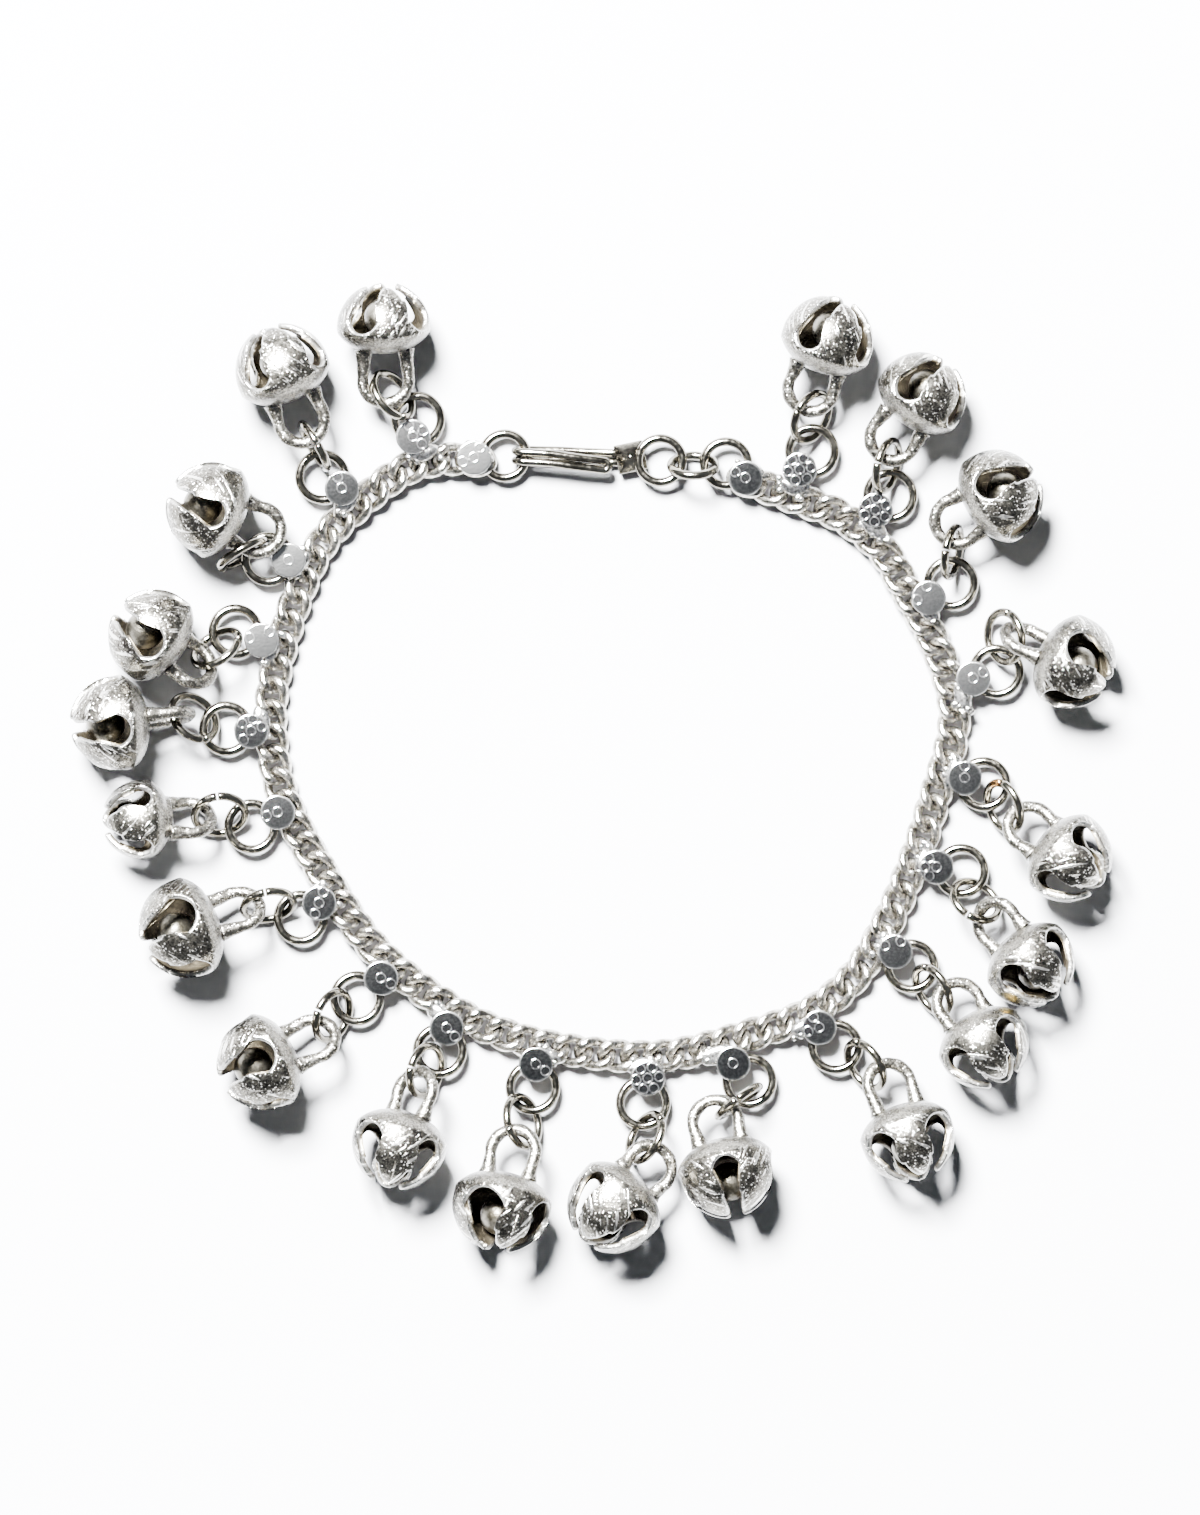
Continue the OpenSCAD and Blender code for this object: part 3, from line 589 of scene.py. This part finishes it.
def shell(r, side, gape, seed):
    """A slotted bell's wall, one grid: each column starts at the middle of the back, runs out
    over the cone and the ridge, forward along the dome to the petals' outline, rounds that
    edge, and returns inside the wall to the middle of the back. Each petal is bent in or out
    a little. Gives points, faces, how far inside, how far on the back, how far on an edge,
    and for the cast veins a place across and along them."""
    rng = np.random.default_rng(seed)
    grow = gape * (1 + rng.uniform(-0.10, 0.10, 4))
    lift = rng.uniform(-0.10, 0.03, 4)
    s_out, phi, spread, petal = petal_outline(r, side, grow)
    inner = r - BELL_WALL

    def dome(s, radius, angle):
        """Point at meridian length s ahead of the ridge, on a dome of the given radius."""
        turn = np.maximum(s - side, 0) / r
        x = np.where(s < side, s, side + radius * np.sin(turn))
        out = np.where(s < side, radius, radius * np.cos(turn))
        return np.stack([x, out * np.sin(angle), out * np.cos(angle)], -1)

    def hoop(x, out):
        """A ring of points at x, so far out from the axis."""
        return np.stack([np.full_like(phi, x), out * np.sin(spread), out * np.cos(spread)], -1)

    edge_mid = dome(s_out, r - BELL_WALL / 2, phi)
    run = unit(np.roll(edge_mid, -1, 0) - np.roll(edge_mid, 1, 0))
    normal = unit(dome(s_out, r, phi) - dome(s_out, inner, phi))
    away = unit(np.cross(normal, run))
    back_step = dome(s_out - 0.2, r, phi) - dome(s_out, r, phi)
    flip = np.sign(np.sum(away * back_step, -1, keepdims=True))
    away = away * np.where(flip == 0, 1, flip)
    core = edge_mid + away * EDGE_ROUND
    outer_end = core + normal * (BELL_WALL / 2)
    reach = np.arctan2(outer_end[:, 0] - side, np.hypot(outer_end[:, 1], outer_end[:, 2]))
    s_end = np.where(outer_end[:, 0] < side, outer_end[:, 0], side + r * reach)
    phi_end = np.unwrap(np.arctan2(outer_end[:, 1], outer_end[:, 2]))

    # Each row of the grid: its points, how far inside, how far on the back, how far on an edge, which
    # takes a painted highlight.
    cone = [(-2.5, 0.02), (-2.48, 0.9), (-2.36, 1.9), (-2.1, 2.9), (-1.72, r - 2.2),
            (-1.3, r - 1.52), (-0.92, r - 1.05), (-0.56, r - 0.68), (-0.24, r - 0.4)]
    rows = [(hoop(x, out), 0, 1, 0) for x, out in cone]
    rows += [(hoop(0.06, r - 0.18), 0, 0.5, 0), (hoop(0.3, r - 0.05), 0, 0, 0)]
    for t in np.linspace(0, 1, 17)[1:-1]:
        angle = spread + (phi_end - spread) * t ** 1.3
        rows.append((dome(0.5 + (s_end - 0.5) * t, r, angle), 0, 0, 0))
    for a in np.linspace(90, -90, 7):
        c, s = np.cos(np.radians(a)), np.sin(np.radians(a))
        edge = core - away * EDGE_ROUND * c + normal * (BELL_WALL / 2) * s
        # The outer half of each rounded edge is marked for a painted highlight.
        rows.append((edge, 0.5 - 0.5 * s, 0, max(0, 0.35 + 0.65 * s)))
    for t in np.linspace(1, 0, 10)[1:]:
        angle = spread + (phi_end - spread) * t ** 1.3
        rows.append((dome(0.36 + (s_end - 0.36) * t, inner, angle), 1, 0, 0))
    cone_inside = [(0.05, inner - 0.25), (-0.7, 3.4), (-1.2, 1.9), (-1.45, 0.02)]
    rows += [(hoop(x, out), 1, 0, 0) for x, out in cone_inside]
    row_points, *row_marks = zip(*rows)

    points = np.stack(row_points)
    ahead = np.clip(points[..., 0] / (side + r), 0, 1) ** 2
    bend = 1 + (lift[petal] / r)[None, :] * ahead
    slow = 0.988 + 0.004 * np.sin(1.1 * points[..., 0] + 0.9 * points[..., 1] + seed) \
        + 0.004 * np.sin(1.3 * points[..., 2] - 0.8 * points[..., 1] + 2 * seed)
    points = np.concatenate([points[..., :1], points[..., 1:] * (bend * slow)[..., None]], -1)
    count = len(phi)
    column = np.arange(count)
    faces = [grid(len(rows), count), column[None, :],
             ((len(rows) - 1) * count + column[::-1])[None, :]]
    around = np.arctan2(points[..., 1], points[..., 2]) - np.radians(90 * petal + 45)[None, :]
    around = (around + np.pi) % (2 * np.pi) - np.pi
    across = around * np.hypot(points[..., 1], points[..., 2])
    slant = np.radians(rng.choice([-40, 35, 50], 4))[petal][None, :]
    veins = np.stack([points[..., 0] * np.cos(slant) + across * np.sin(slant),
                      across * np.cos(slant) - points[..., 0] * np.sin(slant) + 9 * petal + 40 * seed,
                      0 * across + seed], -1).reshape(-1, 3)
    marks = [np.repeat(mark, count) for mark in row_marks]
    return points.reshape(-1, 3), faces, *marks, veins


def cast_loop(leg, seed):
    """The loop's centre line in its own plane and its radius along it: a half circle behind,
    then two legs that run forward into the cone, drawing in a little and swelling to a foot."""
    t = np.radians(np.linspace(90, 270, 33))
    arc = np.stack([LOOP_R * np.cos(t), LOOP_R * np.sin(t)], -1)
    q = np.linspace(0, 1, 12)[1:]
    x, y = q * leg, LOOP_R - 0.25 * np.sin(q * np.pi / 2)
    line = np.vstack([np.stack([x, y], -1)[::-1], arc, np.stack([x, -y], -1)])
    foot = np.concatenate([q[::-1] ** 2, np.zeros(len(t)), q ** 2])
    run = np.arange(len(line))
    waves = 0.05 * np.sin(0.45 * run + seed) + 0.03 * np.sin(1.1 * run + 2 * seed)
    thick = LOOP_WIRE / 2 * (1 + 0.5 * foot + waves)
    return np.concatenate([line, np.zeros((len(line), 1))], -1), thick


def bell_seat(x, y, heading, lift, r, side):
    """How a bell lies on the ground, tip lifted: its dome's centre and the turn of its axis."""
    up = np.radians(lift)
    ridge_z = max(r * np.cos(up), r - side * np.sin(up))
    place = np.array([x, y, ridge_z + side * np.sin(up)])
    return place, turn_about("z", heading) @ turn_about("y", -lift)


bell_finish, tree, shader, at = metal("cast_bell_silver")
inside, back_part = carried(tree, "inside"), carried(tree, "back")
dome_part = add(tree, "Math", {0: 1.0, 1: back_part}, operation="SUBTRACT").outputs[0]
# Cast beads, worn patches, pits, grain, and veins that run across each petal. The beads and veins are
# relief, and their near-white colour is a painted glint.
cells = add(tree, "TexVoronoi", {"Vector": at, "Scale": 2400.0}).outputs["Distance"]
beads_and_glints = times(tree, stretch(tree, cells, 0.21, 0.34, 1.0, 0.0),
              stretch(tree, noise(tree, at, 900, 2), 0.38, 0.50))
patches = stretch(tree, noise(tree, at, 480, 3, 0.6), 0.40, 0.60)
pits = stretch(tree, noise(tree, at, 3800, 2, 0.6), 0.56, 0.64)
grain = stretch(tree, noise(tree, at, 3700, 2, 0.7), 0.44, 0.56)
in_veins = noise(tree, carried(tree, "veins", "Vector"), 1.0, 1, 0.4, (0.33, 1.9, 1.0))
veins = times(tree, stretch(tree, in_veins, 0.60, 0.66), dome_part)
# The dome's skin, then the back's, the inside's, and a painted highlight laid over the edges.
tone = plus(tree, times(tree, patches, 0.35), times(tree, grain, 0.65))
skin = mixed(tree, tone, BELL_LIGHT, BELL_DARK)
skin = mixed(tree, times(tree, pits, 0.6), skin, BELL_PIT)
# Painted glints: the beads and veins are turned near-white.
skin = mixed(tree, times(tree, plus(tree, beads_and_glints, veins), 0.8), skin, BEAD_PAINTED_GLINT)
back_tone = times(tree, plus(tree, grain, times(tree, beads_and_glints, -0.5)), 0.8)
skin = mixed(tree, times(tree, back_part, 0.8), skin, mixed(tree, back_tone, BACK_LIGHT, BACK_DARK))
skin = mixed(tree, inside, skin, mixed(tree, patches, INSIDE_LIGHT, INSIDE_DARK))
# The painted highlight along the petals' edges.
skin = mixed(tree, times(tree, carried(tree, "rim"), 0.55), skin, EDGE_PAINTED_HIGHLIGHT)
skin = stained(tree, at, skin, BELL_STAINS, BELL_STAIN)
rough = plus(tree, stretch(tree, noise(tree, at, 1300), 0.3, 0.7, 0.18, 0.28),
             times(tree, back_part, 0.06))
rough = plus(tree, rough, times(tree, inside, 0.3))
relief = plus(tree, times(tree, beads_and_glints, 0.35), noise(tree, at, 1500, 3, 0.6))
relief = plus(tree, relief, times(tree, veins, 0.5))
dressed(tree, shader, skin, rough, relief, 0.6, BELL_RELIEF)

for i, (x, y, heading, lift, slots, roll, r, side, reach) in enumerate(BELLS):
    place, turn = bell_seat(x, y, heading, lift, r, side)
    points, faces, inside, back_share, rim, veins = shell(r, side, GAPE[i], i + 1)
    points = (points @ turn_about("x", slots).T - [side, 0, 0]) @ turn.T + place
    loop_turn = turn @ turn_about("x", roll)
    path, thick = cast_loop(reach - side - LOOP_LEG_STOP, i)
    loop = wire(path @ loop_turn.T + place - turn @ [reach, 0, 0], thick,
                loop_turn @ [0, 0, 1], LOOP_SIDES, False)
    on_loop = np.ones(len(loop[0]))
    put(f"bell_{i + 1:02d}_cast", [(points, faces), loop], bell_finish,
        [f"bell_{i + 1:02d}"],
        {"inside": np.concatenate([inside, 0 * on_loop]),
         "back": np.concatenate([back_share, LOOP_AS_BACK * on_loop]),
         "rim": np.concatenate([rim, 0 * on_loop]),
         "veins": np.concatenate([veins, loop[0]])})

# The pellets are loose silver balls, one in each bell, seen through its slots. Each rests
# on the inside of the wall, and strikes it when the bell is shaken.
PELLET_D = 5.0
PELLET_AHEAD = 1.2
PELLET_GAP = 0.15
PELLET_DARK = (0.028, 0.025, 0.018)
PELLET_LIGHT = (0.11, 0.103, 0.085)
PELLET_RELIEF = 0.00012

pellet_finish, tree, shader, at = metal("pellet_silver")
tone = stretch(tree, noise(tree, at, 600, 3), 0.4, 0.6)
dressed(tree, shader, mixed(tree, tone, PELLET_DARK, PELLET_LIGHT), 0.34,
        noise(tree, at, 2200, 3), 0.5, PELLET_RELIEF)

pellets = []
for x, y, heading, lift, slots, roll, r, side, reach in BELLS:
    place, turn = bell_seat(x, y, heading, lift, r, side)
    inner = r - BELL_WALL
    pellet_r = min(PELLET_D, inner * 0.95) / 2
    away = inner - pellet_r - PELLET_GAP
    centre = turn @ [PELLET_AHEAD, 0, -np.sqrt(away ** 2 - PELLET_AHEAD ** 2)] + place
    pellets.append(ball(centre, [pellet_r] * 3, around=32, rows=20))
put("pellet_balls", pellets, pellet_finish, ["pellets"])

# The clasp: the chain's two end rings, a loose middle ring, and a hook bent from one doubled
# wire. The wire runs under the end ring, up through it and back over itself to a round tip;
# its ends are buried in a small pyramid of solder that also holds the hook's own ring.

# Each row: side, link, disc's place, ring's place, punch marks on the disc.
END_PIECES = [("hook_side", 0, [-15.0, 39.7], [-11.1, 40.0, 1.7], (1, [60, 200], 0.2)),
              ("clasp_side", LINK_COUNT - 1, [19.7, 37.1], [17.2, 39.0, 2.3], (1, [150], 0.95))]
CLASP_RING_R = 2.82
GROUND_GAP = 0.03
MIDDLE_RING = [13.0, 38.7]
MIDDLE_LEAN = 62
MIDDLE_CLIMBS = 270
HOOK_RING = [8.8, 39.4, 2.3]
HOOK_WIRE = 1.04
HOOK_SIDES = 14
HOOK_GAP = 1.2
HOOK_LOW = HOOK_WIRE / 2 + GROUND_GAP
HOOK_HIGH = 3.05
BEND_X = -8.5
TIP = [1.6, 38.7, 2.7]
PYRAMID_AT = [5.0, 39.8, 0]
PYRAMID_TURN = 12
PYRAMID_ROUND = 0.0003

for side_name, k, disc_at, ring_at, marks in END_PIECES:
    soldered_piece(f"end_piece_{side_name}", k, disc_at, ring_at, np.eye(3), CLASP_RING_R, marks, k)

middle_z = CLASP_RING_R * np.sin(np.radians(MIDDLE_LEAN)) + RING_WIRE / 2 + GROUND_GAP
middle_turn = turn_about("z", MIDDLE_CLIMBS) @ turn_about("y", -MIDDLE_LEAN)
put("middle_ring_bent", [ring([*MIDDLE_RING, middle_z], middle_turn, CLASP_RING_R, RING_WIRE, seed=5)],
    ring_finish, ["middle_ring"])

# Both strands of the hook follow one line, from the pyramid round the bend to the tip.
a = np.linspace(0, np.pi, 15)
bend_r = (HOOK_HIGH - HOOK_LOW) / 2
bend = np.stack([BEND_X - bend_r * np.sin(a), 40.2 - 0.4 * a / np.pi,
                 HOOK_LOW + bend_r * (1 - np.cos(a))], -1)
hook_line = np.vstack([
    [[4.1, 39.7, 1.1], [2.5, 39.78, 0.8], [0, 39.9, HOOK_LOW], [-4, 40.1, HOOK_LOW]], bend,
    [[-6.8, 39.72, 3.22], [-5, 39.6, 3.3], [-1.5, 39.1, 3.2], [0.2, 38.9, 3.0],
     [TIP[0], TIP[1], TIP[2] + 0.05]]])
a = np.linspace(0, np.pi, 9)[1:-1]
tip = np.stack([TIP[0] + HOOK_GAP / 2 * np.sin(a), TIP[1] + HOOK_GAP / 2 * np.cos(a),
                TIP[2] + 0 * a], -1)
strand = np.array([0, HOOK_GAP / 2, 0])
path = np.vstack([hook_line + strand, tip, (hook_line - strand)[::-1]])
along = np.gradient(path, axis=0)
before_tip, after_tip = along[:len(hook_line)], along[len(hook_line) + len(tip):]
lean_to = np.vstack([np.cross([0, 1, 0], before_tip), np.tile([0, 0, -1.0], (len(tip), 1)),
                     np.cross([0, -1, 0], after_tip)])
put("hook_wire", [wire(path, HOOK_WIRE / 2, lean_to, HOOK_SIDES, False),
                  ring(HOOK_RING, np.eye(3), CLASP_RING_R, RING_WIRE, seed=8)],
    ring_finish, ["hook"])

# The pyramid: three squares, each given by half its width and its height above the ground.
corner = np.array([[-1, -1], [1, -1], [1, 1], [-1, 1]])
squares = np.vstack([np.column_stack([corner * half, np.full(4, z)])
                     for half, z in ((1.7, 0.1), (1.9, 1.8), (0.14, 3.4))])
pyramid = squares @ turn_about("z", PYRAMID_TURN).T + PYRAMID_AT
foot_and_top = np.array([[3, 2, 1, 0], [8, 9, 10, 11]])
lump = put("hook_solder", [(pyramid, [foot_and_top, grid(3, 4)[:, ::-1]])],
           ring_finish, ["hook"])
round_off = lump.modifiers.new("rounded", "BEVEL")
round_off.width, round_off.segments = PYRAMID_ROUND, 3

# The anklet lies on a plain white sheet under one square lamp from the upper left. The
# sheet's own tone is a mid grey and the lamp is strong, so that it shows white while the
# metal stays clear of its reflection. The sky is brightest low down.
SHEET = (0.124, 0.126, 0.131, 1)
SKY_LOW = (0.77, 0.82, 0.90)
SKY_SIDE = (0.365, 0.388, 0.425)
SKY_TOP = (0.28, 0.303, 0.34)
LAMP_PLACE = np.array([-0.383, 0.820, 1.319])
LAMP_SIZE = 0.46
LAMP_POWER = 3200
CAMERA_PLACE = (0.000908, 0.001278, 2.0)
LENS = 371.3

floor_mesh = bpy.data.meshes.new("floor")
floor_mesh.from_pydata([(-3, -3, 0), (3, -3, 0), (3, 3, 0), (-3, 3, 0)], [], [(0, 1, 2, 3)])
floor = bpy.data.objects.new("floor", floor_mesh)
bpy.context.collection.objects.link(floor)
sheet = bpy.data.materials.new("white_sheet")
sheet.use_nodes = True
shader = sheet.node_tree.nodes["Principled BSDF"]
shader.inputs["Base Color"].default_value = SHEET
shader.inputs["Roughness"].default_value = 0.9
floor_mesh.materials.append(sheet)

world = bpy.data.worlds.new("studio")
bpy.context.scene.world = world
world.use_nodes = True
tree = world.node_tree
look = add(tree, "SeparateXYZ", {0: add(tree, "TexCoord").outputs["Generated"]})
rise = add(tree, "Math", {0: look.outputs[2]}, operation="ABSOLUTE").outputs[0]
sky = mixed(tree, stretch(tree, rise, 0.02, 0.25), SKY_LOW, SKY_SIDE)
sky = mixed(tree, stretch(tree, rise, 0.45, 0.92), sky, SKY_TOP)
fill(tree, tree.nodes["Background"].inputs["Color"], sky)

lamp = bpy.data.lights.new("key", "AREA")
lamp.size, lamp.energy = LAMP_SIZE, LAMP_POWER
back = LAMP_PLACE / np.linalg.norm(LAMP_PLACE)
lamp_holder = bpy.data.objects.new("key", lamp)
lamp_holder.location = LAMP_PLACE
lamp_holder.rotation_euler = (np.arccos(back[2]), 0, np.arctan2(back[0], -back[1]))
bpy.context.collection.objects.link(lamp_holder)

# The view is from straight above and far off, with a long lens.
view = bpy.data.cameras.new("view")
view.lens = LENS
view.clip_end = 20
camera = bpy.data.objects.new("camera", view)
camera.location = CAMERA_PLACE
bpy.context.collection.objects.link(camera)
bpy.context.scene.camera = camera
